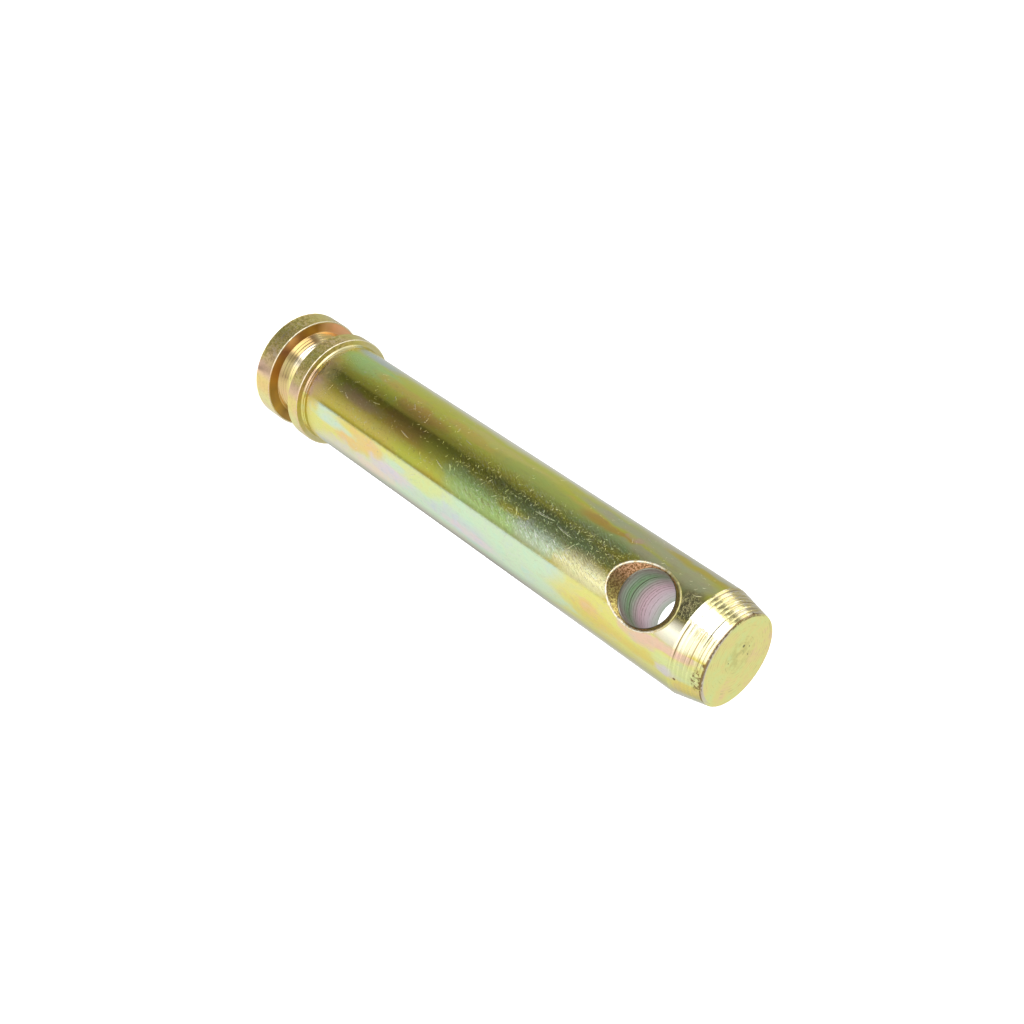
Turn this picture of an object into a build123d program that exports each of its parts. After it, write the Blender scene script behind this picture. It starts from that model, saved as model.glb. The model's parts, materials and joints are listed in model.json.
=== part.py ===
from build123d import *
from math import radians, tan
import os

# Top link pin, turned from one steel bar and cross-drilled. Millimetres, +Z up.
# The pin stands on its head: its axis is Z and the head's back face lies on Z = 0.
# The linch pin hole crosses the shank along Y.

# Diameter of the shank, and the steps to the other diameters
shank_diameter = 25.0
shoulder_height = 1.7
groove_depth = 2.85  # at the groove's two sides
waist_depth = 1.7  # how much further the neck narrows towards its middle
nose_drop = 1.75

# Lengths along the axis, from the head up
head_thickness = 5.3
groove_width = 8.0
collar_thickness = 3.7
grip_length = 110.5  # shoulder face to the middle of the linch pin hole
tip_length = 19.5  # middle of the linch pin hole to the end face
nose_length = 7.6

# Linch pin hole, countersunk from both sides
hole_diameter = 12.5
countersink_depth = 2.65
countersink_angle = 90.0

# Edges left by the turning tool
rim_chamfer = 0.4
shoulder_fillet = 0.8
waist_fillet = 3.0
nose_edge_chamfer = 0.3

# Radii and heights that follow from the sizes above
shank_radius = shank_diameter / 2
rim_of_head = shank_radius + shoulder_height
neck_radius = rim_of_head - groove_depth
waist_radius = neck_radius - waist_depth
nose_radius = shank_radius - nose_drop

groove_floor = head_thickness
groove_top = groove_floor + groove_width
waist_height = groove_floor + groove_width / 2
shoulder_face = groove_top + collar_thickness
hole_height = shoulder_face + grip_length
end_face = hole_height + tip_length
nose_base = end_face - nose_length


def corners_at(sketch, *places):
    """The sketch's corners at the given (radius, height) places."""
    return [sketch.vertices().sort_by_distance((radius, height, 0))[0] for radius, height in places]


def turned_blank():
    """The bar as it leaves the lathe: head, waisted neck, collar, shank and tapered nose."""
    back_rim = (rim_of_head, 0)
    front_rim = (rim_of_head, groove_floor)
    waist = (waist_radius, waist_height)
    collar_back_rim = (rim_of_head, groove_top)
    collar_front_rim = (rim_of_head, shoulder_face)
    shoulder_corner = (shank_radius, shoulder_face)
    nose_start = (shank_radius, nose_base)
    nose_edge = (nose_radius, end_face)

    with BuildPart() as blank:
        with BuildSketch(Plane.XZ) as section:
            with BuildLine():
                Polyline(
                    (0, 0),
                    back_rim,
                    front_rim,
                    (neck_radius, groove_floor),
                    waist,
                    (neck_radius, groove_top),
                    collar_back_rim,
                    collar_front_rim,
                    shoulder_corner,
                    nose_start,
                    nose_edge,
                    (0, end_face),
                    close=True,
                )
            make_face()
            chamfer(corners_at(section, back_rim, front_rim, collar_back_rim, collar_front_rim), rim_chamfer)
            chamfer(corners_at(section, nose_edge), nose_edge_chamfer)
            fillet(corners_at(section, shoulder_corner), shoulder_fillet)
            fillet(corners_at(section, waist), waist_fillet)
        revolve(axis=Axis.Z)
    return blank.part


def drilled_pin():
    """The blank with its linch pin hole drilled through and countersunk from both sides."""
    hole_radius = hole_diameter / 2
    mouth_radius = hole_radius + countersink_depth * tan(radians(countersink_angle / 2))
    with BuildPart() as pin:
        add(turned_blank())
        for side in (-1, 1):
            mouth = Plane(origin=(0, side * shank_radius, hole_height), z_dir=(0, side, 0))
            with Locations(mouth):
                CounterSinkHole(hole_radius, mouth_radius, shank_diameter, countersink_angle)
    return pin.part


os.makedirs("parts", exist_ok=True)
export_step(drilled_pin(), "parts/top_link_pin.step")
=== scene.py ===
import json
import math

import bpy
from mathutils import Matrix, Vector


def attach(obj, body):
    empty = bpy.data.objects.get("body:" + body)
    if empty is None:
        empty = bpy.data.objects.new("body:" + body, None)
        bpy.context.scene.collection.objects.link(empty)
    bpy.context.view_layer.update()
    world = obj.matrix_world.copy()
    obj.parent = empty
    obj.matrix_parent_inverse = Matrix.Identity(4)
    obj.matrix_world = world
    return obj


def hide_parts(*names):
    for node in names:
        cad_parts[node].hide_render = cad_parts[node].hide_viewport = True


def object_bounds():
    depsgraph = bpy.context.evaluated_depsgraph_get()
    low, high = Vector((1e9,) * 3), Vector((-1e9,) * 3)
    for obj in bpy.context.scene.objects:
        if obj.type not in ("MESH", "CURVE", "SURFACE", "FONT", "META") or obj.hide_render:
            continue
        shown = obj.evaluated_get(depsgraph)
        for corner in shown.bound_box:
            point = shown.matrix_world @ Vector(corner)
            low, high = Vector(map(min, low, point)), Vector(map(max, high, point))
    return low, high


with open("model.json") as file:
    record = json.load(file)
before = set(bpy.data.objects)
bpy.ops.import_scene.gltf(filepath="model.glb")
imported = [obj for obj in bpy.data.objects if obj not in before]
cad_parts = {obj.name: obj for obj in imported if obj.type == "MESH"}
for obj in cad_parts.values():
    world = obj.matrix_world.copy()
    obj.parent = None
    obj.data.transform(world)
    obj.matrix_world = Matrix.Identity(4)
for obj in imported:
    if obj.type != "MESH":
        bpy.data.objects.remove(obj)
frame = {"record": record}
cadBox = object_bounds()

mm = 0.001
mounts = {mount["name"]: mount for mount in frame["record"]["mounts"]}
shankRadius = mounts["shank"]["dims"]["r_mm"] * mm
holeRadius = mounts["linch_pin_hole"]["dims"]["r_mm"] * mm
holeHeight = mounts["linch_pin_hole"]["pos_m"][2]
shoulderHeight = mounts["shoulder"]["pos_m"][2]
headRadius = cadBox[1][0]
pinLength = cadBox[1][2]


# A socket that can stand in a Python sum. Each sum adds its Math nodes to the tree.
class Field:
    def __init__(self, graph, socket):
        self.graph = graph
        self.socket = socket

    def math(self, operation, *others):
        return self.graph.add("ShaderNodeMath", {"operation": operation}, dict(enumerate((self, *others))))

    def __add__(self, other):
        return self.math("ADD", other)

    __radd__ = __add__

    def __sub__(self, other):
        return self.math("SUBTRACT", other)

    def __rsub__(self, other):
        return self.graph.add("ShaderNodeMath", {"operation": "SUBTRACT"}, {0: other, 1: self})

    def __mul__(self, other):
        return self.math("MULTIPLY", other)

    def __truediv__(self, other):
        return self.math("DIVIDE", other)

    def __pow__(self, other):
        return self.math("POWER", other)

    def __neg__(self):
        return self.math("MULTIPLY", -1.0)

    # Another output of the same node
    def other(self, name):
        return Field(self.graph, self.socket.node.outputs[name])

    # This colour with some of another
    def mix(self, factor, colour, blend="MIX"):
        return self.graph.mix(factor, self, colour, blend)

    # 0 at low, 1 at high, with a soft start and end
    def rise(self, low, high):
        values = {"Value": self, "From Min": low, "From Max": high}
        return self.graph.add("ShaderNodeMapRange", {"interpolation_type": "SMOOTHSTEP"}, values)


# A shader or geometry node tree. add makes any node: its type, its settings, then its sockets.
class Graph:
    def __init__(self, tree):
        self.tree = tree

    def add(self, kind, settings=None, values=None, output=0):
        node = self.tree.nodes.new(kind)
        for name, value in (settings or {}).items():
            setattr(node, name, value)
        for name, value in (values or {}).items():
            self.plug(value, node.inputs[name])
        return Field(self, node.outputs[output]) if len(node.outputs) else node

    def plug(self, value, socket):
        if isinstance(value, Field):
            self.tree.links.new(value.socket, socket)
        else:
            socket.default_value = value

    def ramp(self, factor, stops):
        ramp = self.add("ShaderNodeValToRGB", None, {"Fac": factor})
        elements = ramp.socket.node.color_ramp.elements
        while len(elements) < len(stops):
            elements.new(0.5)
        for element, (place, colour) in zip(elements, stops):
            element.position = place
            element.color = (*colour, 1)
        return ramp

    def mix(self, factor, first, second, blend="MIX"):
        settings = {"data_type": "RGBA", "blend_type": blend}
        colours = [value if isinstance(value, Field) else (*value, 1) for value in (first, second)]
        return self.add("ShaderNodeMix", settings, {0: factor, 6: colours[0], 7: colours[1]}, 2)

    def noise(self, vector, scale, detail=2.0, roughness=0.5):
        values = {"Vector": vector, "Scale": scale, "Detail": detail, "Roughness": roughness}
        return self.add("ShaderNodeTexNoise", None, values)

    def vector(self, operation, *vectors):
        return self.add("ShaderNodeVectorMath", {"operation": operation}, dict(enumerate(vectors)))

    # A vector times a number
    def scaled(self, vector, amount):
        return self.add("ShaderNodeVectorMath", {"operation": "SCALE"}, {0: vector, "Scale": amount})

    # Splits a vector into its three numbers
    def parts(self, vector):
        node = self.add("ShaderNodeSeparateXYZ", None, {"Vector": vector}).socket.node
        return [Field(self, socket) for socket in node.outputs]


def newTree(name, kind, inputs, outputs=(("Geometry", "NodeSocketGeometry"),)):
    tree = bpy.data.node_groups.new(name, kind)
    for label, socketKind in inputs:
        tree.interface.new_socket(label, in_out="INPUT", socket_type=socketKind)
    for label, socketKind in outputs:
        tree.interface.new_socket(label, in_out="OUTPUT", socket_type=socketKind)
    graph = Graph(tree)
    entry = tree.nodes.new("NodeGroupInput")
    given = {label: Field(graph, entry.outputs[label]) for label, _ in inputs}
    leave = tree.nodes.new("NodeGroupOutput")
    return graph, given, leave


# Outline of the pin, in millimetres and degrees; the other sizes come from the frame. The root's
# profile gives how far each point stands outside the shank, and its height above the shoulder.
pinShape = {
    "headThickness": 5.3,
    "grooveWidth": 8.0,
    "grooveDepth": 2.85,
    "grooveCorner": 0.12,
    "waistDepth": 1.9,
    "waistRound": 1.0,
    "footRound": 0.08,
    "rimWidth": 0.12,
    "rimLength": 0.2,
    "rootFillet": 0.12,
    "rootStep": 0.26,
    "rootProfile": [(0.1, 0.42), (0.1, 0.72), (0.01, 0.97), (0.0, 1.27)],
    "noseLength": 7.6,
    "noseDrop": 1.75,
    "noseRound": 0.25,
    "sides": 240,
    "smoothAngle": 32,
}
headFront = pinShape["headThickness"] * mm
grooveTop = headFront + pinShape["grooveWidth"] * mm
neckRadius = headRadius - pinShape["grooveDepth"] * mm
noseBase = pinLength - pinShape["noseLength"] * mm

# Rings that the cutting tools left on each face: distance apart and depth, in millimetres, and
# a step in the shared seed, so that no two faces have the same rings
toolMarks = {
    "Nose": {"pitch": 1.0, "depth": 0.045, "step": 0},
    "Neck": {"pitch": 0.7, "depth": 0.025, "step": 7},
    "Face": {"pitch": 0.8, "depth": 0.02, "step": 13},
    "Bore": {"pitch": 1.1, "depth": 0.05, "step": 23},
}
ringSeed = 3.0

# The linch pin hole and the burr round its mouths, in millimetres and degrees
holeShape = {
    "countersinkDepth": 2.65,
    "countersinkAngle": 90,
    "cutterReach": 1.0,
    "boreStep": 0.25,
    "coneStep": 0.3,
    "sides": 128,
    "burrWidth": 0.32,
    "burrStep": 0.3,
    "burrGrain": 1400.0,
}
throat = shankRadius - holeShape["countersinkDepth"] * mm


# Points from start to end, about step apart, without the end itself
def straight(start, end, step):
    count = max(1, round(math.dist(start, end) / step))
    return [tuple(a + (b - a) * i / count for a, b in zip(start, end)) for i in range(count)]


# Points round a rounded corner, between the directions startAngle and endAngle in degrees
def rounded(centre, radius, startAngle, endAngle, count=6):
    angles = [math.radians(startAngle + (endAngle - startAngle) * i / count) for i in range(count + 1)]
    return [(centre[0] + radius * math.cos(a), centre[1] + radius * math.sin(a)) for a in angles]


def pinOutline():
    foot = pinShape["footRound"] * mm
    rimWidth = pinShape["rimWidth"] * mm
    rimLength = pinShape["rimLength"] * mm
    inner = pinShape["grooveCorner"] * mm
    waistRound = pinShape["waistRound"] * mm
    waistHeight = (headFront + grooveTop) / 2
    slope = math.atan2(pinShape["waistDepth"], pinShape["grooveWidth"] / 2)
    waistCentre = neckRadius - pinShape["waistDepth"] * mm + waistRound / math.cos(slope)
    slope = math.degrees(slope)
    fillet = pinShape["rootFillet"] * mm
    rootRadius = shankRadius + pinShape["rootStep"] * mm
    root = [(shankRadius + out * mm, shoulderHeight + up * mm) for out, up in pinShape["rootProfile"]]
    noseRadius = shankRadius - pinShape["noseDrop"] * mm
    noseRound = pinShape["noseRound"] * mm
    taper = math.degrees(math.atan2(shankRadius - noseRadius, pinLength - noseBase))
    setback = noseRound * math.tan(math.radians(90 - taper) / 2)
    # Each corner, after the step in millimetres on the run that leads to it
    corners = [
        (0.8, rounded((headRadius - foot, foot), foot, -90, 0)),
        (0.8, [(headRadius, headFront - rimLength), (headRadius - rimWidth, headFront)]),
        (0.4, rounded((neckRadius + inner, headFront + inner), inner, 270, 180 + slope, 3)),
        (0.14, rounded((waistCentre, waistHeight), waistRound, 180 + slope, 180 - slope, 10)),
        (0.4, rounded((neckRadius + inner, grooveTop - inner), inner, 180 - slope, 90, 3)),
        (0.4, [(headRadius - foot, grooveTop), (headRadius, grooveTop + foot)]),
        (0.8, [(headRadius, shoulderHeight - rimLength), (headRadius - rimWidth, shoulderHeight)]),
        (0.4, rounded((rootRadius + fillet, shoulderHeight + fillet), fillet, 270, 180, 4)),
        (0.4, root),
        (1.6, [(shankRadius, noseBase)]),
        (0.12, rounded((noseRadius - setback, pinLength - noseRound), noseRound, taper, 90)),
        (0.16, [(0.0, pinLength)]),
    ]
    points = [(0.0, 0.0)]
    for step, corner in corners:
        points += straight(points[-1], corner[0], step * mm)[1:] + corner
    return points


def holeOutline():
    spread = math.tan(math.radians(holeShape["countersinkAngle"] / 2))
    reach = shankRadius + holeShape["cutterReach"] * mm
    mouth = holeRadius + (reach - throat) * spread
    half = straight((holeRadius, 0), (holeRadius, throat), holeShape["boreStep"] * mm)
    half += straight((holeRadius, throat), (mouth, reach), holeShape["coneStep"] * mm)
    half += [(mouth, reach), (0, reach)]
    return [(radius, -place) for radius, place in reversed(half[1:])] + half


def newObject(name, data):
    thing = bpy.data.objects.new(name, data)
    bpy.context.scene.collection.objects.link(thing)
    return thing


def outlineObject(name, points):
    mesh = bpy.data.meshes.new(name)
    edges = [(i, i + 1) for i in range(len(points) - 1)]
    mesh.from_pydata([(radius, 0, height) for radius, height in points], edges, [])
    return newObject(name, mesh)


# A tree that spins an outline round Z, with as many sides as it is told
def spinTree():
    graph, given, leave = newTree(
        "spinOutline", "GeometryNodeTree", [("Outline", "NodeSocketGeometry"), ("Sides", "NodeSocketInt")]
    )
    count = graph.add("GeometryNodeAttributeDomainSize", None, {"Geometry": given["Outline"]})
    sheet = graph.add("GeometryNodeMeshGrid", None, {"Vertices X": given["Sides"] + 1, "Vertices Y": count})
    index = graph.add("GeometryNodeInputIndex")
    row = index.math("MODULO", count)
    column = (index / count).math("FLOOR")
    place = graph.add(
        "GeometryNodeSampleIndex",
        {"data_type": "FLOAT_VECTOR"},
        {"Geometry": given["Outline"], "Value": graph.add("GeometryNodeInputPosition"), "Index": row},
    )
    radius, _, height = graph.parts(place)
    angle = column / given["Sides"] * math.tau
    spun = {0: radius * angle.math("SINE"), 1: -(radius * angle.math("COSINE")), 2: height}
    spun = graph.add("ShaderNodeCombineXYZ", None, spun)
    body = graph.add("GeometryNodeSetPosition", None, {"Geometry": sheet, "Position": spun})
    body = graph.add("GeometryNodeMergeByDistance", None, {"Geometry": body, "Distance": 1e-6})
    graph.plug(body, leave.inputs[0])
    return graph.tree


# V-shaped tool marks: 0 on the lands and down to about -1 in the grooves, a little uneven
def ringWave(graph, turns, seed, unevenness=0.9):
    values = {"W": turns + seed, "Scale": 0.9, "Detail": 1.0}
    wobble = graph.add("ShaderNodeTexNoise", {"noise_dimensions": "1D"}, values)
    beat = ((turns + wobble * unevenness) * math.pi).math("SINE").math("ABSOLUTE")
    return -((1 - beat) ** 1.5) * (wobble * 2.0)


# Where a face's rings are grooves, for its colour; distance runs across them in millimetres
def ringShade(graph, face, distance, low, high):
    turns = distance / toolMarks[face]["pitch"]
    return (-ringWave(graph, turns, ringSeed + toolMarks[face]["step"])).rise(low, high)


# Lengths that the turned pin's tree takes
treeLengths = {"Hole Height": holeHeight, "Nose Base": noseBase, "Burr Width": holeShape["burrWidth"] * mm}
for face, marks in toolMarks.items():
    treeLengths[face + " Pitch"] = marks["pitch"] * mm
    treeLengths[face + " Depth"] = marks["depth"] * mm
finishNames = ["Head Finish", "Shank Finish", "Nose Finish", "End Finish", "Bore Finish", "Burr Finish"]


# A tree that turns the pin from its outline, drills it, leaves a burr round the hole's mouths
# and hands each region its finish
def pinTree(spin):
    inputs = [("Geometry", "NodeSocketGeometry"), ("Hole Outline", "NodeSocketObject")]
    inputs += [("Sides", "NodeSocketInt"), ("Hole Sides", "NodeSocketInt"), ("Seed", "NodeSocketFloat")]
    inputs += [(label, "NodeSocketFloat") for label in treeLengths]
    inputs += [(label, "NodeSocketMaterial") for label in finishNames]
    graph, given, leave = newTree("turnedPin", "GeometryNodeTree", inputs)

    def place():
        x, y, z = graph.parts(graph.add("GeometryNodeInputPosition"))
        outward = graph.vector("NORMALIZE", graph.add("ShaderNodeCombineXYZ", None, {0: x, 1: y}))
        return z, (x * x + y * y).math("SQRT"), outward

    def shifted(body, along, amount):
        values = {"Geometry": body, "Offset": graph.scaled(along, amount)}
        return graph.add("GeometryNodeSetPosition", None, values)

    def finished(body, label, chosen=True):
        values = {"Geometry": body, "Selection": chosen, "Material": given[label]}
        return graph.add("GeometryNodeSetMaterial", None, values)

    # The depth of a face's rings where the mask is 1
    def rings(face, distance, mask):
        turns = distance / given[face + " Pitch"]
        wave = ringWave(graph, turns, given["Seed"] + toolMarks[face]["step"])
        return wave * given[face + " Depth"] * mask

    # Turning
    blank = graph.add("GeometryNodeGroup", {"node_tree": spin}, {0: given["Geometry"], 1: given["Sides"]})
    z, radius, outward = place()
    nose = given["Nose Base"]
    onNose = z.rise(nose, nose + 0.4 * mm) * (1 - z.rise(pinLength - 0.6 * mm, pinLength - 0.3 * mm))
    onNeck = 1 - radius.rise(neckRadius + 0.1 * mm, neckRadius + 0.3 * mm)
    onNeck = onNeck * z.rise(headFront, headFront + 0.2 * mm)
    onNeck = onNeck * (1 - z.rise(shoulderHeight, shoulderHeight + 1 * mm))
    blank = shifted(blank, outward, rings("Nose", z - nose, onNose) + rings("Neck", z, onNeck))
    z, radius, outward = place()
    onEnd = z.rise(pinLength - 0.02 * mm, pinLength - 0.01 * mm)
    blank = shifted(blank, (0, 0, 1), rings("Face", radius, onEnd))

    # Drilling
    outline = graph.add("GeometryNodeObjectInfo", None, {"Object": given["Hole Outline"]}).other("Geometry")
    drill = graph.add("GeometryNodeGroup", {"node_tree": spin}, {0: outline, 1: given["Hole Sides"]})
    z, radius, outward = place()
    inBore = 1 - z.math("ABSOLUTE").rise(throat - 0.85 * mm, throat - 0.05 * mm)
    drill = shifted(drill, outward, -rings("Bore", z, inBore))
    height = graph.add("ShaderNodeCombineXYZ", None, {2: given["Hole Height"]})
    values = {"Geometry": drill, "Rotation": (math.radians(90), 0, 0), "Translation": height}
    drill = graph.add("GeometryNodeTransform", None, values)
    values = {"Mesh 1": finished(blank, "Shank Finish"), "Mesh 2": finished(drill, "Bore Finish")}
    drilled = graph.add("GeometryNodeMeshBoolean", {"operation": "DIFFERENCE", "solver": "EXACT"}, values)

    # The burr, a rod of uneven width along the mouths
    values = {"Mesh": drilled, "Selection": drilled.other("Intersecting Edges")}
    lip = graph.add("GeometryNodeMeshToCurve", None, values)
    values = {"Curve": lip, "Length": holeShape["burrStep"] * mm}
    lip = graph.add("GeometryNodeResampleCurve", {"mode": "LENGTH"}, values)
    values = {"Resolution": 8, "Radius": 1.0}
    circle = graph.add("GeometryNodeCurvePrimitiveCircle", {"mode": "RADIUS"}, values)
    rough = graph.noise(graph.add("GeometryNodeInputPosition"), holeShape["burrGrain"])
    values = {"Curve": lip, "Profile Curve": circle, "Scale": given["Burr Width"] * (rough * 1.1 + 0.35)}
    burr = finished(graph.add("GeometryNodeCurveToMesh", None, values), "Burr Finish")

    z, radius, outward = place()
    body = finished(drilled, "Head Finish", z.math("LESS_THAN", shoulderHeight + 0.02 * mm))
    body = finished(body, "Nose Finish", z.math("GREATER_THAN", nose))
    body = finished(body, "End Finish", z.math("GREATER_THAN", pinLength - 0.05 * mm))
    joined = graph.add("GeometryNodeJoinGeometry", None, {"Geometry": body})
    graph.plug(burr, joined.socket.node.inputs["Geometry"])
    bend = math.radians(pinShape["smoothAngle"])
    flat = graph.add("GeometryNodeInputMeshEdgeAngle").math("LESS_THAN", bend)
    values = {"Geometry": joined, "Shade Smooth": flat}
    smooth = graph.add("GeometryNodeSetShadeSmooth", {"domain": "EDGE"}, values)
    graph.plug(graph.add("GeometryNodeRealizeInstances", None, {"Geometry": smooth}), leave.inputs[0])
    return graph.tree


# The passivated zinc: its film goes through these colours as it thickens, and then starts again
filmStops = [
    (0.00, (0.89, 0.80, 0.34)), (0.10, (0.91, 0.72, 0.40)), (0.20, (0.90, 0.66, 0.56)),
    (0.30, (0.80, 0.68, 0.72)), (0.40, (0.69, 0.73, 0.82)), (0.50, (0.65, 0.86, 0.84)),
    (0.62, (0.65, 0.89, 0.70)), (0.76, (0.73, 0.87, 0.46)), (0.90, (0.83, 0.84, 0.36)),
    (1.00, (0.89, 0.80, 0.34)),
]
deepTint = (0.88, 0.86, 0.26)
bareZinc = (0.95, 0.9, 0.74)
# Stains, and also painted shade: in the neck's ring grooves and as a gap in its painted highlight
stainAndShade = (0.36, 0.27, 0.12)


def film(graph, thickness, depth):
    pale = graph.ramp(thickness.math("FRACT"), filmStops)
    return graph.mix(depth, pale, graph.mix(1.0, pale, deepTint, "MULTIPLY"))


# Where a point of the pin lies, in millimetres and degrees: height along the pin, radius, and
# azimuth from the hole's front mouth, positive towards +X
class PinPlace:
    def __init__(self, graph):
        self.point = graph.scaled(graph.add("ShaderNodeTexCoord").other("Object"), 1000)
        self.x, self.y, self.height = graph.parts(self.point)
        self.radius = (self.x * self.x + self.y * self.y).math("SQRT")
        self.azimuth = self.x.math("ARCTAN2", -self.y) * math.degrees(1)

    def noise(self, *settings):
        return self.point.graph.noise(self.point, *settings)

    # 1 between two azimuths, with soft ends
    def between(self, low, high, soft=8):
        return self.azimuth.rise(low - soft, low + soft) * (1 - self.azimuth.rise(high - soft, high + soft))

    # A soft oval patch, in millimetres of height and degrees of azimuth
    def patch(self, height, azimuth, halfHeight, halfAzimuth):
        up = (self.height - height) / halfHeight
        sideways = (self.azimuth - azimuth) / halfAzimuth
        return 1 - (up * up + sideways * sideways).rise(0.15, 1.0)

    # A small round mark at a point given in millimetres
    def spot(self, x, y, height, size):
        away = self.point.graph.vector("DISTANCE", self.point, (x, y, height)).other("Value")
        return 1 - away.rise(size * 0.5, size)


# A lens-shaped mark: along and around are measured from its middle, in millimetres
def lens(along, around, sine, cosine, halfLength, halfWidth):
    lengthwise = (along * cosine + around * sine) / halfLength
    sideways = (around * cosine - along * sine).math("ABSOLUTE") / halfWidth
    return (1 - lengthwise ** 2.0 - sideways).rise(0.0, 0.5)


# The point at a height, azimuth and radius
def onPin(height, azimuth, radius):
    angle = math.radians(azimuth)
    return radius * math.sin(angle), -radius * math.cos(angle), height


# Lens-shaped nicks, one in each cell that draws a low number
def nicks(graph, place, cell, halfLength, halfWidth, share):
    cells = graph.add("ShaderNodeTexVoronoi", None, {"Vector": place.point, "Scale": 1 / cell})
    offset = graph.vector("SUBTRACT", place.point, cells.other("Position"))
    draw, slant, _ = graph.parts(cells.other("Color"))
    x, y, along = graph.parts(offset)
    around = (place.x * y - place.y * x) / place.radius
    slant = slant * 2.8 - 1.4
    mark = lens(along, around, slant.math("SINE"), slant.math("COSINE"), halfLength, halfWidth)
    return mark * draw.math("LESS_THAN", share)


# One scratch from end to end, in millimetres of height and degrees of azimuth
def scratch(place, startHeight, startAzimuth, endHeight, endAzimuth, width):
    arc = math.radians(shankRadius / mm)
    rise = endHeight - startHeight
    turn = (endAzimuth - startAzimuth) * arc
    length = math.hypot(rise, turn)
    along = place.height - (startHeight + endHeight) / 2
    around = (place.azimuth - (startAzimuth + endAzimuth) / 2) * arc
    return lens(along, around, turn / length, rise / length, length / 2, width / 2)


# A ramp of colours by azimuth in degrees, from -180 to 180
def turnRamp(graph, azimuth, stops):
    return graph.ramp((azimuth + 180) / 360, [((place + 180) / 360, colour) for place, colour in stops])


def newMaterial(name):
    material = bpy.data.materials.new(name)
    material.use_nodes = True
    return material, Graph(material.node_tree)


def newFinish(name):
    material, graph = newMaterial(name)
    return material, graph, PinPlace(graph)


# Metal of a colour and roughness; bump is the height of its relief in millimetres
def giveMetal(graph, colour, rough, relief=None, bump=0):
    inputs = graph.tree.nodes["Principled BSDF"].inputs
    graph.plug(1.0, inputs["Metallic"])
    graph.plug(colour, inputs["Base Color"])
    graph.plug(rough, inputs["Roughness"])
    if relief:
        values = {"Height": relief, "Distance": bump * mm, "Strength": 1.0}
        graph.plug(graph.add("ShaderNodeBump", None, values), inputs["Normal"])


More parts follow.
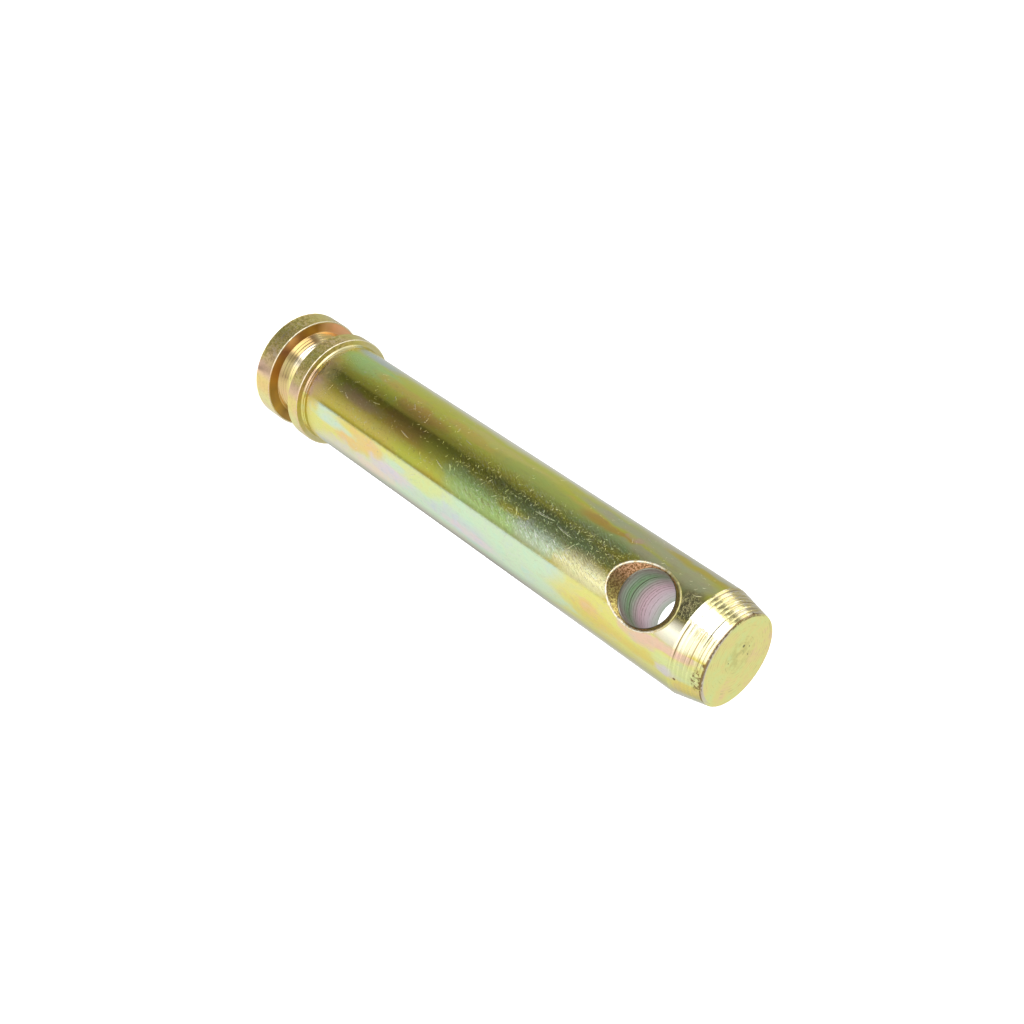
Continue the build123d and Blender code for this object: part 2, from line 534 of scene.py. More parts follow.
# The film as it lies on the pin, with painted highlight and sheen patches: its colours, and for three sides
# the patches in which they lie.
# Each patch gives its height and azimuth, half its height, half its azimuth and its colour.
plating = {
    "colours": {
        "straw": (0.82, 0.79, 0.23), "cream": (0.93, 0.9, 0.52), "gold": (0.84, 0.69, 0.17),
        "amber": (0.88, 0.62, 0.25), "rose": (0.87, 0.58, 0.46), "lilac": (0.76, 0.71, 0.74),
        "blush": (0.88, 0.75, 0.6), "sky": (0.62, 0.75, 0.73), "mint": (0.64, 0.84, 0.62),
        "jade": (0.57, 0.86, 0.32), "lime": (0.75, 0.83, 0.38), "leaf": (0.6, 0.72, 0.2),
        "olive": (0.74, 0.77, 0.12), "bronze": (0.78, 0.65, 0.09), "umber": (0.74, 0.5, 0.13),
        "teal": (0.5, 0.67, 0.3), "shade": (0.5, 0.47, 0.26), "ash": (0.76, 0.75, 0.54),
        "fog": (0.64, 0.66, 0.42), "pearl": (0.9, 0.88, 0.68), "silver": (0.86, 0.87, 0.72),
        "ivory": (1.0, 0.95, 0.82), "clay": (0.74, 0.53, 0.28),
    },
    "far": [
        # silver, along the far edge of the view, is painted sheen
        (80, -88, 95, 20, "silver"), (128, -70, 14, 14, "ash"), (17.5, -45, 4, 40, "gold"),
        (25, -67, 9, 11, "sky"), (27, -44, 11, 15, "jade"), (42, -41, 10, 8, "gold"),
        (52, -27, 9, 8, "umber"), (68, -40, 12, 7, "gold"), (76, -52, 16, 7, "straw"),
        (86, -38, 11, 12, "leaf"), (104, -42, 8, 4, "gold"), (99, -32, 11, 9, "leaf"),
        (111, -38.5, 8, 5, "umber"), (111, -56, 13, 9, "fog"), (112, -27, 10, 8, "teal"),
        (117.5, -45, 2.4, 6, "rose"), (123, -33, 7, 7, "fog"), (127, -50, 10, 9, "fog"),
        (133, -60, 9, 6, "bronze"), (134, -38, 6, 11, "fog"), (136.5, -20, 5, 12, "shade"),
    ],
    "middle": [
        (17, 2, 3, 34, "rose"), (40, 14, 18, 9, "gold"), (52, -6, 10, 13, "umber"),
        (26, -10, 9, 9, "olive"), (34, -3, 8, 9, "clay"), (65, -4, 8, 16, "olive"),
        (77, 11, 10, 18, "jade"), (74, -12, 9, 8, "olive"), (89, 10, 9, 18, "jade"),
        (88, -13, 9, 8, "leaf"), (99, 9, 9, 17, "mint"), (90.5, 0, 5, 6, "olive"),
        (58, 16, 9, 8, "olive"), (103, -10, 15, 12, "teal"), (111, 14, 6, 18, "cream"),
        # ivory, before the nose, is a painted highlight
        (117, 14, 6, 12, "cream"), (134.5, -14, 8, 13, "shade"), (138, 13, 6.5, 13, "ivory"),
    ],
    "lower": [
        # pearl, along the lower edge of the view, is painted sheen
        (122, 50, 19, 60, "straw"), (143, 50, 8, 60, "straw"), (78, 92, 95, 22, "pearl"),
        (18, 40, 5, 60, "gold"), (26, 52, 10, 17, "straw"), (39, 36, 10, 15, "gold"),
        (42, 36, 6, 9, "amber"), (36, 47, 5, 7, "amber"), (29, 39, 7, 6, "mint"),
        (34, 66, 11, 12, "ash"), (45, 60, 8, 9, "blush"), (52, 48, 8, 11, "lilac"),
        (50, 27, 7, 5, "straw"), (61, 32, 11, 10, "lime"), (54, 37, 4, 4, "mint"),
        (77, 52, 13, 12, "sky"), (80, 56, 10, 6, "lilac"), (92, 40, 8, 12, "mint"),
        (99, 56, 11, 10, "mint"), (103, 33, 6, 13, "mint"), (119, 49, 9, 9, "gold"),
        (117, 41, 3, 6, "amber"), (132, 50, 6, 8, "gold"), (131, 34, 5, 6, "rose"),
        (138, 44, 4, 7, "lime"), (139, 54, 3.5, 6, "lilac"), (143.5, 46, 4.5, 12, "lime"),
        (140.5, 28, 6, 6, "rose"), (136, 30, 5, 5, "rose"), (145, 66, 5, 9, "gold"),
    ],
}


patchSizes = ("Middle", "Turn", "Half Height", "Half Azimuth")


# A tree that paints one soft oval patch
def patchTree():
    inputs = [("Under", "NodeSocketColor"), ("Over", "NodeSocketColor")]
    inputs += [(label, "NodeSocketFloat") for label in ("Height", "Azimuth", *patchSizes)]
    graph, given, leave = newTree("softPatch", "ShaderNodeTree", inputs, [("Colour", "NodeSocketColor")])
    up = (given["Height"] - given["Middle"]) / given["Half Height"]
    sideways = (given["Azimuth"] - given["Turn"]) / given["Half Azimuth"]
    amount = (up * up + sideways * sideways).rise(1.8, 0.05)
    graph.plug(graph.mix(amount, given["Under"], given["Over"]), leave.inputs[0])
    return graph.tree


# A tree that gives the plating's colour, and the place on the pin shifted to and fro, so that no
# patch is a plain oval
def platingTree():
    outputs = [("Colour", "NodeSocketColor"), ("Height", "NodeSocketFloat"), ("Azimuth", "NodeSocketFloat")]
    graph, _, leave = newTree("plating", "ShaderNodeTree", [], outputs)
    patch = patchTree()
    place = PinPlace(graph)
    streaks = graph.vector("MULTIPLY", place.point, (1, 1, 0.3))
    broad = graph.noise(streaks, 0.2, 2.0) - 0.5
    cloud = place.noise(0.25, 3.0) - 0.5
    fine = graph.noise(graph.vector("MULTIPLY", place.point, (1, 1, 0.4)), 1.1, 3.0, 0.6) - 0.5
    height = place.height + cloud * 9 + fine * 1.2
    azimuth = place.azimuth + broad * 16 + cloud * 8 + fine * 2

    def painted(side, base):
        colour = (*plating["colours"][base], 1)
        for *sizes, name in plating[side]:
            over = (*plating["colours"][name], 1)
            values = {"Under": colour, "Over": over, "Height": height, "Azimuth": azimuth}
            values.update(zip(patchSizes, sizes))
            colour = graph.add("ShaderNodeGroup", {"node_tree": patch}, values)
        return colour

    far = painted("far", "olive")
    middle = painted("middle", "bronze")
    lower = painted("lower", "mint")
    colour = graph.mix(azimuth.rise(-26, -12), far, middle)
    onLower = place.azimuth.rise(23.5, 26.5)
    colour = colour.mix(onLower, lower)
    back = film(graph, 0.85 + broad * 0.8 + cloud * 1.4, 0.7)
    colour = colour.mix(place.azimuth.math("ABSOLUTE").rise(112, 158), back)
    veil = film(graph, cloud * 1.6 + fine * 1.2, 1 - onLower * 0.8)
    colour = colour.mix(0.16, veil)
    darker = graph.mix(1.0, colour, (0.5, 0.5, 0.5), "MULTIPLY")
    colour = colour.mix(fine.math("ABSOLUTE") * 0.5, darker)
    graph.plug(colour, leave.inputs[0])
    graph.plug(height, leave.inputs[1])
    graph.plug(azimuth, leave.inputs[2])
    return graph.tree


def plated(graph, tree):
    colour = graph.add("ShaderNodeGroup", {"node_tree": tree})
    warped = PinPlace(graph)
    warped.height = colour.other("Height")
    warped.azimuth = colour.other("Azimuth")
    return colour, warped


# In all finishes a sector gives two azimuths and how soft its ends are, a patch its height,
# azimuth, half height and half azimuth, and a start or end the two values between which it fades.
# Nicks give their cell, half length, half width and share of the cells, and a scratch the height
# and azimuth of both ends and its width.
shankWear = {
    "nicks": (1.7, 0.42, 0.1, 0.4),
    "longNicks": (5.3, 0.9, 0.13, 0.15),
    "strokes": (1.15, 0.5, 0.09, 0.55),
    "crowds": [((52, -26, 12, 14), 0.8), ((64, -12, 16, 16), 0.5)],
    "scratches": [
        (93.9, -8.7, 100.2, -12.0, 0.42), (94.6, -11.0, 98.6, -10.2, 0.3),
        (101.0, -9.0, 106.0, -7.0, 0.4), (50.3, -0.7, 53.9, 2.2, 0.36), (63.7, 3.5, 66.9, 8.4, 0.36),
        (29.2, -0.9, 31.3, 3.9, 0.3), (38.0, -8.5, 40.6, -10.8, 0.24), (41.6, -29.0, 43.0, -24.5, 0.4),
        (47.0, -36.0, 49.5, -27.0, 0.26), (66.0, -31.5, 69.0, -30.0, 0.3),
    ],
    "wornSector": (-30, 20, 8),
    "wornStart": (58, 78),
    "wornEnd": (118, 130),
    "crestPatch": (99, 12, 13, 13),
    "dustySector": (-44, 22, 6),
    "dustyEnd": (52, 72),
    "rootStart": (18.5, 19.4),
    "rootEnd": (19, 27),
    "blushSector": (-24, 24, 10),
    "blushStart": (17.9, 18.6),
    "flareSector": (-62, -16, 8),
    "flareEnd": (18.3, 19.4),
    "bruisePatch": (136.5, -15, 5.0, 22),
    "strandTint": (0.97, 0.98, 0.9),
    "flareTint": (1.0, 0.92, 0.6),
    "bruiseTint": (0.3, 0.28, 0.16),
    "bump": 0.04,
}


def shankFinish(tree):
    wear = shankWear
    material, graph, place = newFinish("platedShank")
    colour, warped = plated(graph, tree)
    grain = place.noise(1.6, 3.0, 0.65)
    speckle = place.noise(1.1, 4.0, 0.75)
    brushed = graph.noise(graph.vector("MULTIPLY", place.point, (0.6, 0.6, 1)), 3.0, 2.0, 0.6)
    slanted = {0: (place.x - place.height * 0.45) * 1.8, 1: place.y * 0.6, 2: place.height * 0.4}
    strands = graph.noise(graph.add("ShaderNodeCombineXYZ", None, slanted), 2.0, 3.0, 0.65)

    # Where each kind of wear lies, and where the painted highlights lie
    worn = place.between(*wear["wornSector"]) * warped.height.rise(*wear["wornStart"])
    worn = worn * (1 - warped.height.rise(*wear["wornEnd"]))
    # Painted highlight: a patch where the pale strands show brighter
    crestHighlight = warped.patch(*wear["crestPatch"])
    dusty = place.between(*wear["dustySector"]) * (1 - warped.height.rise(*wear["dustyEnd"]))
    dusty = dusty * grain.rise(0.5, 0.62)
    nearRoot = 1 - warped.height.rise(*wear["rootEnd"])
    rooted = place.height.rise(*wear["rootStart"]) * nearRoot
    blushing = place.height.rise(*wear["blushStart"]) * nearRoot * place.between(*wear["blushSector"])
    # Painted highlight: a pale band at the shank's root, in the sector where it catches the light
    rootHighlight = 1 - (place.height + (grain - 0.5) * 3.0).rise(*wear["flareEnd"])
    rootHighlight = rootHighlight * place.between(*wear["flareSector"])
    bruised = warped.patch(*wear["bruisePatch"]) * speckle.rise(0.4, 0.55)

    # Nicks, scratches and fine strokes
    crowd = place.noise(0.16, 1.0).rise(0.42, 0.6) * 0.5
    for patch, strength in wear["crowds"]:
        crowd = crowd + place.patch(*patch) * strength
    marks = nicks(graph, place, *wear["nicks"]) * crowd + nicks(graph, place, *wear["longNicks"]) * 0.7
    for ends in wear["scratches"]:
        marks = marks + scratch(place, *ends)
    marks = marks.math("MINIMUM", 1.0)
    glints = place.noise(1.9, 3.0, 0.7).rise(0.55, 0.72) * worn
    strokes = nicks(graph, place, *wear["strokes"]) * worn
    strokes = strokes * place.noise(0.3, 1.0).rise(0.4, 0.55)

    # Nicks, scratches and strokes bare the zinc; the glints' lightening is a painted glint
    bareAndGlinting = (marks * 0.5 + strokes * 0.28 + glints * 0.2).math("MINIMUM", 0.7)
    colour = colour.mix(bareAndGlinting, bareZinc)
    colour = colour.mix(strands.rise(0.48, 0.36) * worn * 0.45, stainAndShade)
    # Pale worn strands, brighter in the painted highlight patch
    colour = colour.mix(strands.rise(0.54, 0.64) * worn * (0.35 + crestHighlight * 0.5), wear["strandTint"])
    colour = colour.mix(dusty * speckle.rise(0.5, 0.6) * 0.3, stainAndShade)
    colour = colour.mix(dusty * speckle.rise(0.46, 0.38) * 0.4, bareZinc)
    # The painted highlight at the root
    colour = colour.mix(rootHighlight * 0.8, wear["flareTint"])
    colour = colour.mix(bruised * 0.6, wear["bruiseTint"])
    colour = colour.mix(blushing * 0.5, plating["colours"]["rose"])
    rough = 0.06 + grain * 0.07 + (marks + glints + strokes) * 0.14
    rough = rough + rooted * (0.1 + speckle * 0.4) + dusty * 0.12 + rootHighlight * 0.2
    relief = grain * 0.25 + brushed * 0.15 + strands * worn * 0.9
    relief = relief + marks * 1.2 + glints * 0.4 + strokes * 0.7 + bruised * 0.3
    giveMetal(graph, colour, rough, relief, wear["bump"])
    return material


# The ramps give a colour for each azimuth: of the head's front face, with its painted reflections
# and painted shade, and the painted shade at the foot of the neck, as a share of the neck's own
headLook = {
    "face": [
        (-180, (0.4, 0.24, 0.07)), (-90, (0.69, 0.39, 0.2)), (-72, (0.93, 0.48, 0.24)),
        (-60, (0.82, 0.5, 0.25)), (-48, (0.36, 0.2, 0.05)), (-36, (0.36, 0.21, 0.05)),
        (-24, (0.3, 0.16, 0.06)), (-12, (0.6, 0.33, 0.13)), (0, (0.34, 0.16, 0.08)),
        (12, (0.44, 0.25, 0.1)), (24, (0.46, 0.22, 0.08)), (36, (0.52, 0.28, 0.08)),
        (48, (0.43, 0.27, 0.08)), (60, (0.6, 0.37, 0.1)), (72, (0.7, 0.42, 0.08)),
        (84, (0.36, 0.21, 0.05)), (180, (0.4, 0.24, 0.07)),
    ],
    "neckFoot": [
        (-180, (0.95, 0.9, 0.8)), (-90, (0.8, 0.8, 0.7)), (-60, (0.96, 0.85, 0.65)),
        (-46, (1.0, 1.0, 1.0)), (-36, (0.62, 0.5, 0.4)), (-12, (0.7, 0.6, 0.57)),
        (0, (0.45, 0.41, 0.38)), (12, (0.5, 0.5, 0.47)), (26, (0.6, 0.5, 0.55)),
        (38, (0.86, 0.76, 0.8)), (90, (0.95, 0.9, 0.8)),
    ],
    "roseSector": (20, 34, 5),
    "amberSector": (38, 50, 6),
    "limeSector": (54, 70, 8),
    "ashStart": (66, 84),
    "ashEnd": (-84, -62),
    "mottledSector": (-50, 16, 14),
    "polishedSector": (-34, 6, 8),
    "polishedStart": (7.0, 7.8),
    "stainedPatch": (8.4, -2, 1.8, 6),
    "ringsEnd": (6.0, 7.2),
    "footEnd": (7.2, 8.2),
    "darkMottle": (0.34, 0.28, 0.1),
    "paleMottle": (0.9, 0.78, 0.6),
    "creamRim": (1.0, 0.93, 0.76),
    "pinkRim": (0.86, 0.64, 0.44),
    "shoulderTint": (0.4, 0.34, 0.1),
    "bump": 0.06,
}


def headFinish():
    look = headLook
    tints = plating["colours"]
    material, graph, place = newFinish("turnedHead")
    broad = place.noise(0.2, 3.0) - 0.5
    speckle = place.noise(1.1, 4.0, 0.75)
    grain = place.noise(3.2, 2.0)
    rim = headRadius / mm
    top = grooveTop / mm
    shoulder = shoulderHeight / mm
    inGroove = (1 - place.radius.rise(rim - 0.45, rim - 0.25)) * (1 - place.height.rise(top - 0.3, top - 0.1))
    onFace = inGroove * place.radius.rise(neckRadius / mm, neckRadius / mm + 0.15)

    # The sides and rims of the head and the collar, and the shoulder, with painted sheen and rim highlights
    side = film(graph, 0.06 + broad * 0.5, 0.42)
    amber = place.between(*look["amberSector"]) * (1 - place.height.rise(5, 13)) * 0.6
    side = side.mix(place.between(*look["roseSector"]) * 0.75, tints["rose"])
    side = side.mix(amber, tints["amber"])
    side = side.mix(place.between(*look["limeSector"]) * 0.5, tints["lime"])
    # Pale ash from the edges of the view round the back: painted sheen at the edges
    side = side.mix(place.azimuth.rise(*look["ashStart"]) * 0.8, tints["ash"])
    side = side.mix((1 - place.azimuth.rise(*look["ashEnd"])) * 0.8, tints["ash"])
    mottled = place.between(*look["mottledSector"])
    side = side.mix(speckle.rise(0.46, 0.58) * (0.15 + mottled * 0.5), look["darkMottle"])
    side = side.mix(speckle.rise(0.48, 0.38) * mottled * 0.6, look["paleMottle"])
    rims = place.radius.rise(rim - 0.17, rim - 0.12) * (1 - place.radius.rise(rim - 0.03, rim - 0.01))
    rims = rims * (1 - place.height.rise(12, 13) * (1 - place.height.rise(15, 16)))
    # Edge wear on the rims, its pale cream and pink also a painted highlight
    wornRimHighlight = graph.mix(place.azimuth.rise(10, 30), look["creamRim"], look["pinkRim"])
    side = side.mix(rims * speckle.rise(0.34, 0.46), wornRimHighlight)
    onShoulder = place.height.rise(shoulder - 0.1, shoulder - 0.02)
    onShoulder = onShoulder * (1 - place.radius.rise(rim - 0.3, rim - 0.15))
    side = side.mix(onShoulder * 0.6, look["shoulderTint"])

    # The neck and the front face, with their painted highlight and painted shade
    neck = film(graph, 0.05 + broad * 0.3, 0.15)
    rings = ringShade(graph, "Neck", place.height, 0.3, 0.8) * (1 - place.height.rise(*look["ringsEnd"]))
    neck = neck.mix(rings * 0.6, stainAndShade)
    # Painted highlight on the upper neck: bare zinc's pale colour in the sector where the highlight falls
    paintedHighlight = place.between(*look["polishedSector"]) * place.height.rise(*look["polishedStart"])
    neck = neck.mix(paintedHighlight * 0.8, bareZinc)
    # A painted dark gap in the neck's painted highlight
    neck = neck.mix(place.patch(*look["stainedPatch"]) * 0.5, stainAndShade)
    ragged = place.azimuth + broad * 12
    # Painted shade at the foot of the neck, in the corner by the head's front face
    footShaded = graph.mix(1.0, neck, turnRamp(graph, ragged, look["neckFoot"]), "MULTIPLY")
    neck = neck.mix(1 - place.height.rise(*look["footEnd"]), footShaded)
    # Painted reflections and painted shade on the head's front face, by azimuth
    neck = neck.mix(onFace, turnRamp(graph, ragged, look["face"]))

    rough = 0.2 + mottled * speckle.rise(0.35, 0.6) * 0.3 + speckle * 0.1
    rough = 0.12 + (1 - inGroove) * (rough - rims * 0.1) + onFace * 0.22
    relief = (speckle + grain * 0.5) * (1 - inGroove * 0.9)
    giveMetal(graph, graph.mix(inGroove, side, neck), rough, relief, look["bump"])
    return material


# A dark ring gives its height, half width and strength, and a speck at the edge its azimuth and size
noseLook = {
    "goldenStart": (-130, -100),
    "goldenEnd": (-44, -36),
    "murkyStart": (-46, -38),
    "murkyEnd": (-29, -26),
    "polishedStart": (-29, -25),
    "polishedEnd": (19, 25),
    "rings": [
        (140.15, 0.2, 1.0), (141.8, 0.14, 0.4), (142.6, 0.14, 0.5), (143.6, 0.2, 0.9),
        (145.3, 0.16, 0.7), (146.0, 0.14, 0.6),
    ],
    "pit": (141.1, 57, 12.1),
    "pitSize": 0.42,
    "specks": [(-61, 0.34), (25.5, 0.5), (41, 0.3)],
    "edgeSector": (-70, 80, 8),
    "murkyTint": (0.86, 0.77, 0.44),
    "murkyStain": (0.4, 0.35, 0.16),
    "silverTint": (0.97, 0.93, 0.8),
    "paleTint": (0.94, 0.89, 0.6),
    "rust": (0.22, 0.12, 0.04),
    "bump": 0.03,
}


def noseFinish(tree):
    look = noseLook
    material, graph, place = newFinish("turnedNose")
    fine = place.noise(1.8, 3.0, 0.6)
    speckle = place.noise(1.1, 4.0, 0.75)
    streaky = graph.noise(graph.vector("MULTIPLY", place.point, (0.3, 0.3, 1)), 1.8, 3.0, 0.7)
    colour = plated(graph, tree)[0]
    ragged = place.azimuth + (speckle - 0.5) * 14
    golden = ragged.rise(*look["goldenStart"]) * (1 - ragged.rise(*look["goldenEnd"]))
    colour = colour.mix(golden, film(graph, 1.04 + (fine - 0.5) * 0.3, 0.1))
    colour = colour.mix(golden * streaky.rise(0.46, 0.6) * 0.7, bareZinc)
    murky = ragged.rise(*look["murkyStart"]) * (1 - ragged.rise(*look["murkyEnd"]))
    colour = colour.mix(murky * 0.8, look["murkyTint"])
    colour = colour.mix(murky * speckle.rise(0.6, 0.44) * 0.8, look["murkyStain"])
    # Painted highlight: white and cream over the nose's broad highlight
    paintedHighlight = ragged.rise(*look["polishedStart"]) * (1 - place.azimuth.rise(*look["polishedEnd"]))
    pale = graph.mix(ragged.rise(-5, -1), look["silverTint"], look["paleTint"])
    colour = colour.mix(paintedHighlight * 0.85, pale)
    cover = ragged.rise(-5, -3) * (1 - ragged.rise(24, 44)) + golden * 0.75
    for height, halfWidth, strength in look["rings"]:
        away = (place.height + (speckle - 0.5) * 0.12 - height).math("ABSOLUTE")
        colour = colour.mix(away.rise(halfWidth, halfWidth * 0.4) * cover * strength, stainAndShade)
    edge = (ragged + 4.5).math("ABSOLUTE").rise(1.6, 0.6) * 0.7
    colour = colour.mix(edge * speckle.rise(0.4, 0.55), stainAndShade)

    # A dark line along the edge, dark brown specks and a pit
    top = pinLength / mm
    line = place.height.rise(top - 0.42, top - 0.3) * place.between(*look["edgeSector"])
    line = line * fine.rise(0.25, 0.45) * 0.85
    blobs = place.patch(top - 1.1, 46, 1.6, 17) * speckle.rise(0.46, 0.56)
    blobs = blobs + place.spot(*onPin(*look["pit"]), look["pitSize"])
    for azimuth, size in look["specks"]:
        blobs = blobs + place.spot(*onPin(top - 0.45, azimuth, 10.8), size)
    colour = colour.mix((line + blobs).math("MINIMUM", 0.9), look["rust"])
    giveMetal(graph, colour, 0.1 + fine * 0.1, fine, look["bump"])
    return material


# The middle is where the facing rings centre; a pit gives its place and size
endLook = {
    "middle": (-1.3, -0.6),
    "pits": [(-3.2, -1.4, 0.42), (-3.9, 0.6, 0.2), (-2.4, 2.0, 0.22), (1.5, -2.6, 0.2)],
    "bandSector": (-20, 85, 15),
    "edgeSector": (-75, 62, 12),
    "haze": (0.93, 0.94, 0.92),
    "middleTint": (0.5, 0.5, 0.16),
    "ringTint": (0.42, 0.46, 0.18),
    "bandTint": (0.62, 0.55, 0.55),
    "edgeTint": (0.22, 0.14, 0.06),
    "pitTint": (0.1, 0.1, 0.04),
    "bump": 0.02,
}


def endFinish():
    look = endLook
    material, graph, place = newFinish("facedEnd")
    top = pinLength / mm
    broad = place.noise(0.25, 3.0) - 0.5
    cloud = place.noise(0.6, 4.0, 0.65)
    fine = place.noise(1.6, 3.0)
    golden = place.y.rise(-1, 4) * place.radius.rise(3.2, 5.0)
    colour = film(graph, 0.93 + broad * 0.5 + (cloud - 0.5) * 0.3 + golden * 0.08, 0.14)
    colour = colour.mix(1.0, look["haze"], "MULTIPLY")
    away = graph.vector("DISTANCE", place.point, (*look["middle"], top)).other("Value")
    colour = colour.mix(away.rise(5.5, 1.5) * cloud.rise(0.38, 0.6) * 0.5, look["middleTint"])
    rings = ringShade(graph, "Face", away, 0.4, 0.9)
    colour = colour.mix(rings * cloud.rise(0.45, 0.6) * 0.4, look["ringTint"])
    band = place.radius.rise(9.8, 10.15) * place.between(*look["bandSector"])
    colour = colour.mix(band * 0.7, look["bandTint"])
    edge = place.radius.rise(10.25, 10.4) * place.between(*look["edgeSector"]) * fine.rise(0.36, 0.5)
    colour = colour.mix(edge * 0.8, look["edgeTint"])
    pits = sum(place.spot(x, y, top, size) for x, y, size in look["pits"])
    colour = colour.mix(pits.math("MINIMUM", 0.9), look["pitTint"])
    giveMetal(graph, colour, 0.38 + fine * 0.12, fine - pits, look["bump"])
    return material


# The wall's colours run from the front mouth to the back
boreLook = {
    "wall": [
        (0.00, (0.42, 0.4, 0.32)), (0.10, (0.42, 0.5, 0.38)), (0.22, (0.26, 0.46, 0.22)),
        (0.32, (0.42, 0.47, 0.36)), (0.38, (0.5, 0.43, 0.4)), (0.55, (0.7, 0.48, 0.54)),
        (0.75, (0.66, 0.54, 0.58)), (1.00, (0.42, 0.5, 0.4)),
    ],
    "ringTint": (0.22, 0.15, 0.12),
    "coneTint": (0.82, 0.47, 0.26),
    "coneStain": (0.2, 0.09, 0.02),
    "coneGlint": (0.95, 0.78, 0.42),
    "coneTop": (0.62, 0.53, 0.17),
    "bump": 0.09,
}


def boreFinish():
    look = boreLook
    material, graph, place = newFinish("drilledBore")
    speckle = place.noise(1.6, 4.0, 0.7)
    crisp = place.noise(2.6, 4.0, 0.7)
    wander = place.noise(0.25, 2.0) - 0.5
    up = place.height - holeHeight / mm
    fromAxis = (up * up + place.x * place.x).math("SQRT")
    inBore = 1 - fromAxis.rise(holeRadius / mm + 0.15, holeRadius / mm + 0.3)
    wall = graph.ramp((place.y + 10.0) / 20.0 + wander * 0.16, look["wall"])
    rings = ringShade(graph, "Bore", place.y + wander * 1.5, 0.35, 0.95)
    wall = wall.mix(rings * speckle.rise(0.35, 0.55) * 0.6, look["ringTint"])
    golden = place.x.rise(-2.5, 3.5) * (1 - up.rise(-2, 4))
    cone = film(graph, 0.06 + (crisp - 0.5) * 0.3, 0.5)
    cone = cone.mix(1 - golden, look["coneTint"])
    cone = cone.mix(crisp.rise(0.44, 0.56) * (0.9 - golden * 0.25), look["coneStain"])
    cone = cone.mix(crisp.rise(0.36, 0.28), look["coneGlint"])
    cone = cone.mix(up.rise(3, 5) * 0.8, look["coneTop"])
    relief = speckle * (1 - inBore * 0.7)
    giveMetal(graph, graph.mix(inBore, cone, wall), 0.26 + speckle * 0.16, relief, look["bump"])
    return material


burrLook = {"dark": (0.75, 0.6, 0.32), "bright": (0.98, 0.92, 0.76), "shaded": (0.5, 0.45, 0.14)}


def burrFinish():
    material, graph, place = newFinish("raisedBurr")
    speckle = place.noise(1.8, 3.0, 0.6)
    colour = graph.mix(speckle.rise(0.35, 0.6), burrLook["dark"], burrLook["bright"])
    shaded = (1 - place.x.rise(2, 5)) * (place.height - holeHeight / mm).rise(-2, 3)
    giveMetal(graph, graph.mix(shaded * 0.8, colour, burrLook["shaded"]), 0.3 + speckle * 0.15)
    return material


def turnPin(finishes):
    pin = outlineObject("turnedPin", pinOutline())
    hole = outlineObject("drillOutline", holeOutline())
    settings = {"Hole Outline": hole, "Seed": ringSeed, **treeLengths, **finishes}
    settings.update({"Sides": pinShape["sides"], "Hole Sides": holeShape["sides"]})
    modifier = pin.modifiers.new("turnedPin", "NODES")
    modifier.node_group = pinTree(spinTree())
    for item in modifier.node_group.interface.items_tree:
        if item.name in settings:
            modifier[item.identifier] = settings[item.name]
    evaluated = pin.evaluated_get(bpy.context.evaluated_depsgraph_get())
    pin.data = bpy.data.meshes.new_from_object(evaluated)
    pin.modifiers.clear()
    pin.data.materials.pop(index=list(pin.data.materials).index(None))  # the spun sheet's empty slot
    bpy.data.objects.remove(hole)
    triangles = sum(len(face.vertices) - 2 for face in pin.data.polygons)
    print("pin turned:", len(pin.data.vertices), "vertices,", triangles, "triangles")
    return pin


shared = platingTree()
made = [headFinish(), shankFinish(shared), noseFinish(shared), endFinish(), boreFinish(), burrFinish()]
finishes = dict(zip(finishNames, made))
print("finishes made:", len(finishes))
pin = turnPin(finishes)
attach(pin, "root")
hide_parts("top_link_pin")


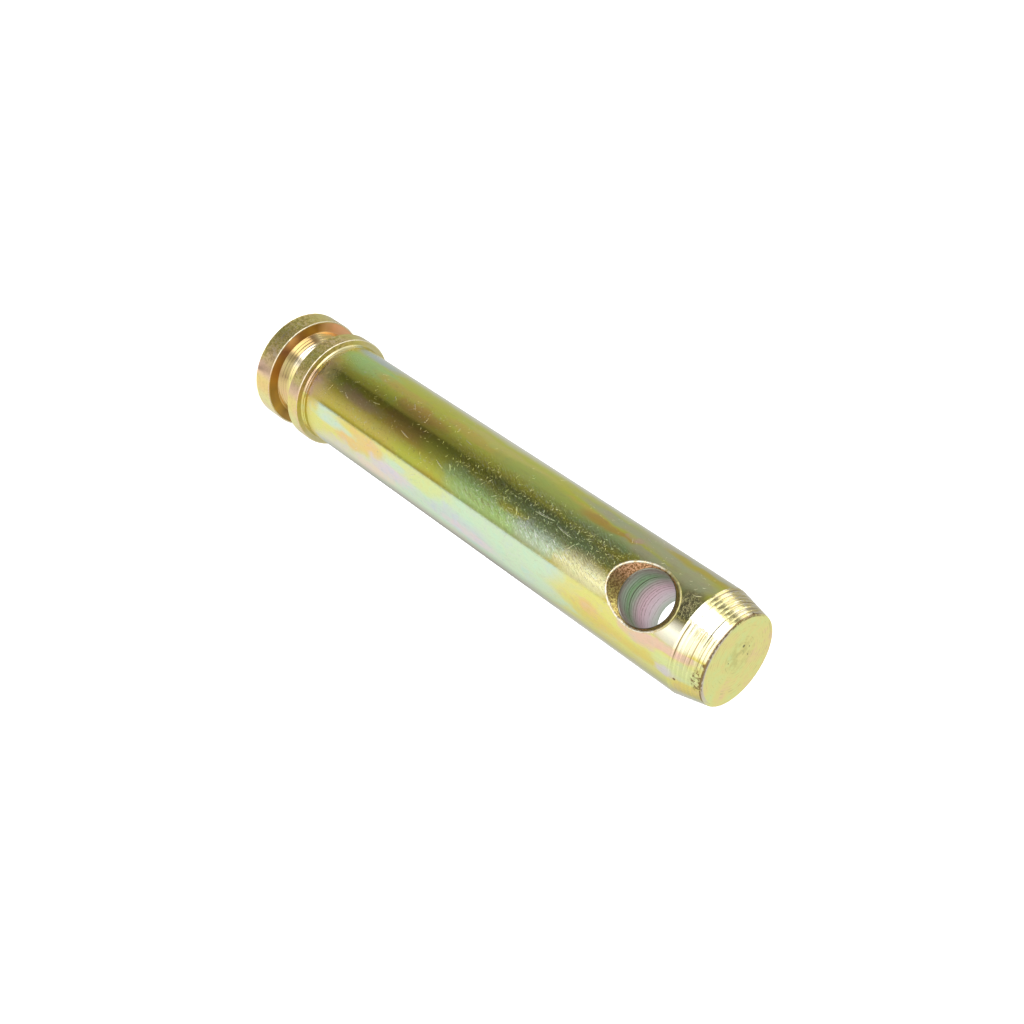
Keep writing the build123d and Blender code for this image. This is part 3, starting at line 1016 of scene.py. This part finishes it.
# The studio: a white floor and, seen only in reflections, a tent of graded cards round the pin.
# Brightness by azimuth in degrees from the front towards +X: on the floor near the pin and
# further off, and on the wall, low and above. The dark side is the camera's side of the room,
# which has no light. A lamp gives its name, place, size and watts.
studio = {
    "floorRadius": 6.0,
    "paper": 0.82,
    "floorGlow": 0.62,
    "tentFoot": 0.00005,
    "tentOuter": 0.42,
    "wallTop": 0.3,
    "aboveFrom": 0.1,
    "centre": -0.00625,
    "brightest": 2.6,
    "sky": 0.95,
    "fill": 0.55,
    "darkSide": (-0.34, -0.62, 0.7),
    "darkReach": (0.55, 0.85),
    "darkShare": 0.75,
    "lamps": [
        ("lampAbove", (-0.25, -0.1, 0.9), 0.6, 4.0),
        ("lampRight", (0.7, -0.5, 0.7), 0.5, 2.5),
    ],
    "near": [
        (-180, 0.5), (-170, 0.66), (-144, 0.6), (-120, 0.54), (-96, 0.52), (-72, 0.44), (-58, 0.34),
        (-48, 0.25), (-38, 0.21), (-34, 0.1), (-22, 0.12), (-12, 0.18), (0, 0.25), (12, 0.38),
        (24, 0.53), (36, 0.64), (43, 0.62), (47, 0.4), (50.5, 0.4), (52.5, 1.0), (84, 0.97),
        (120, 0.88), (144, 0.5), (160, 0.3), (172, 0.32), (180, 0.5),
    ],
    "far": [
        (-180, 0.64), (-130, 0.48), (-100, 0.5), (-72, 0.42), (-54, 0.25), (-42, 0.2), (-30, 0.22),
        (-10, 0.2), (0, 0.32), (12, 0.78), (24, 1.35), (36, 1.0), (49, 0.8), (52.5, 1.02),
        (84, 0.95), (120, 0.8), (144, 0.56), (180, 0.64),
    ],
    "wall": [
        (-180, 0.72), (-144, 0.42), (-112, 0.42), (-103, 1.3), (-82, 1.3), (-76, 0.42), (-64, 0.42),
        (-56, 2.2), (-16, 2.4), (-5, 0.9), (6, 0.9), (14, 1.4), (34, 1.2), (46, 0.9), (120, 0.82),
        (150, 0.52), (180, 0.72),
    ],
    "wallAbove": [
        (-180, 0.8), (-128, 0.7), (-116, 1.5), (-60, 2.0), (-10, 2.2), (30, 1.6), (56, 1.1),
        (120, 0.9), (180, 0.8),
    ],
}


def azimuthRamp(graph, azimuth, stops):
    bright = studio["brightest"]
    return turnRamp(graph, azimuth, [(place, (value / bright,) * 3) for place, value in stops])


def lathe(name, outline, sides):
    mesh = bpy.data.meshes.new(name)
    angles = [math.tau * i / sides for i in range(sides)]
    points = []
    for radius, height in outline:
        points += [(radius * math.sin(a), -radius * math.cos(a), height) for a in angles]
    faces = []
    for row in range(len(outline) - 1):
        for i in range(sides):
            j = (i + 1) % sides
            faces.append((row * sides + i, row * sides + j, (row + 1) * sides + j, (row + 1) * sides + i))
    mesh.from_pydata(points, [], faces)
    thing = newObject(name, mesh)
    return thing


def emptyMaterial(name):
    material, graph = newMaterial(name)
    graph.tree.nodes.clear()
    return material, graph, graph.tree.nodes.new("ShaderNodeOutputMaterial")


# 1 for a ray from the camera and for one that metal or glass sends on
def seenRay(graph):
    path = graph.add("ShaderNodeLightPath")
    seen = path.other("Is Camera Ray").math("MAXIMUM", path.other("Is Glossy Ray"))
    return seen.math("MAXIMUM", path.other("Is Transmission Ray"))


def makeFloor():
    floor = lathe("studioFloor", [(studio["floorRadius"], 0), (0.5, 0), (0.05, 0), (0.0001, 0)], 48)
    material, graph, output = emptyMaterial("whitePaper")
    paper = graph.add("ShaderNodeBsdfDiffuse", None, {"Color": (*(studio["paper"],) * 3, 1)})
    glow = graph.add("ShaderNodeEmission", None, {"Strength": seenRay(graph) * studio["floorGlow"]})
    graph.plug(graph.add("ShaderNodeAddShader", None, {0: paper, 1: glow}), output.inputs["Surface"])
    floor.data.materials.append(material)


def makeTent():
    rim = studio["tentOuter"]
    foot = studio["tentFoot"]
    outline = [(headRadius + foot, foot), (0.1, foot), (rim, foot), (rim, studio["wallTop"])]
    tent = lathe("studioTent", outline, 96)
    material, graph, output = emptyMaterial("gradedCards")
    x, y, z = graph.parts(graph.add("ShaderNodeTexCoord").other("Object"))
    y = y - studio["centre"]
    azimuth = x.math("ARCTAN2", -y) * math.degrees(1)
    reach = (x * x + y * y).math("SQRT")
    cards = [azimuthRamp(graph, azimuth, studio[name]) for name in ("near", "far", "wall", "wallAbove")]
    near, far, wall, above = cards
    card = graph.mix(reach.rise(0.13, 0.2), near, far)
    card = card.mix((z * 6 + reach).rise(rim - 0.1, rim + 0.06), wall)
    card = card.mix(z.rise(studio["aboveFrom"], studio["aboveFrom"] + 0.06), above)
    glow = graph.add("ShaderNodeEmission", None, {"Color": card, "Strength": studio["brightest"]})
    graph.plug(glow, output.inputs["Surface"])
    tent.data.materials.append(material)
    for kind in ("camera", "diffuse", "shadow", "volume_scatter"):
        setattr(tent, "visible_" + kind, False)


def makeWorld():
    world = bpy.data.worlds.new("studioAir")
    bpy.context.scene.world = world
    world.use_nodes = True
    graph = Graph(world.node_tree)
    back = world.node_tree.nodes["Background"]
    back.inputs["Color"].default_value = (1, 1, 1, 1)
    direction = graph.vector("NORMALIZE", graph.add("ShaderNodeTexCoord").other("Generated"))
    darkSide = Vector(studio["darkSide"]).normalized()
    facing = graph.vector("DOT_PRODUCT", direction, darkSide).other("Value")
    sky = studio["sky"] - facing.rise(*studio["darkReach"]) * studio["darkShare"]
    path = graph.add("ShaderNodeLightPath")
    glossy = path.other("Is Glossy Ray").math("MAXIMUM", path.other("Is Transmission Ray"))
    direct = path.other("Is Camera Ray")
    strength = direct + glossy * sky + (1 - direct.math("MAXIMUM", glossy)) * studio["fill"]
    graph.plug(strength, back.inputs["Strength"])


def areaLamp(name, place, size, watts):
    lamp = bpy.data.lights.new(name, "AREA")
    lamp.size = size
    lamp.energy = watts
    thing = newObject(name, lamp)
    thing.location = place
    thing.rotation_euler = (-Vector(place)).to_track_quat("-Z", "Y").to_euler()
    thing.visible_glossy = False


makeFloor()
makeTent()
makeWorld()
for lamp in studio["lamps"]:
    areaLamp(*lamp)
print("studio set")

# The camera looks down on the standing pin and is rolled, so that the pin lies across the frame
cameraView = {
    "place": (0.005424, -0.280794, 0.282817),
    "turn": (-38.0767, -42.0522, 140.4153),
    "lens": 54.078,
    "sensorWidth": 36,
    "clipStart": 0.01,
}
cameraData = bpy.data.cameras.new("camera")
cameraData.lens = cameraView["lens"]
cameraData.sensor_width = cameraView["sensorWidth"]
cameraData.clip_start = cameraView["clipStart"]
camera = newObject("camera", cameraData)
camera.location = cameraView["place"]
camera.rotation_euler = [math.radians(angle) for angle in cameraView["turn"]]
bpy.context.scene.camera = camera
bpy.context.scene.view_settings.view_transform = "Standard"
